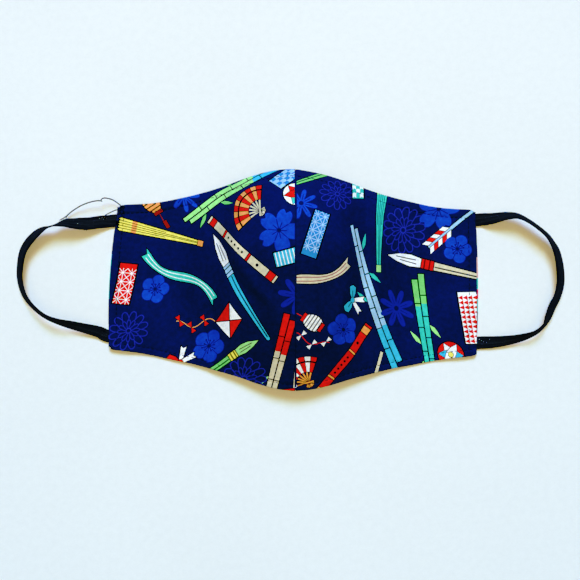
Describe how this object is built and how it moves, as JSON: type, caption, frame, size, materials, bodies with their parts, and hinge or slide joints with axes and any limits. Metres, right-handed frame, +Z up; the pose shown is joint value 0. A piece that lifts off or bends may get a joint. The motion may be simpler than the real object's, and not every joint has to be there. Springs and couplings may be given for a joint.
{
  "type": "cloth face mask",
  "caption": "Contoured cloth face mask with printed half panels meeting at a centre seam, turned side hems and flat elastic ear loops, lying outer face up.",
  "frame": {"origin": "middle of the mask's box on the surface that it lies on", "axes": "+X across the face, to the right ear loop as seen from above; +Y to the nose edge; +Z up, out of the outer face"},
  "size_m": [0.3414, 0.1364, 0.0439],
  "materials": {
    "printed_cotton": "matte",
    "hem_cotton": "matte",
    "black_elastic": "matte"
  },
  "bodies": {
    "root": {"panel_left": "printed_cotton", "panel_right": "printed_cotton", "side_hem_left": "hem_cotton", "side_hem_right": "hem_cotton", "ear_loop_left": "black_elastic", "ear_loop_right": "black_elastic"}
  },
  "joints": []
}
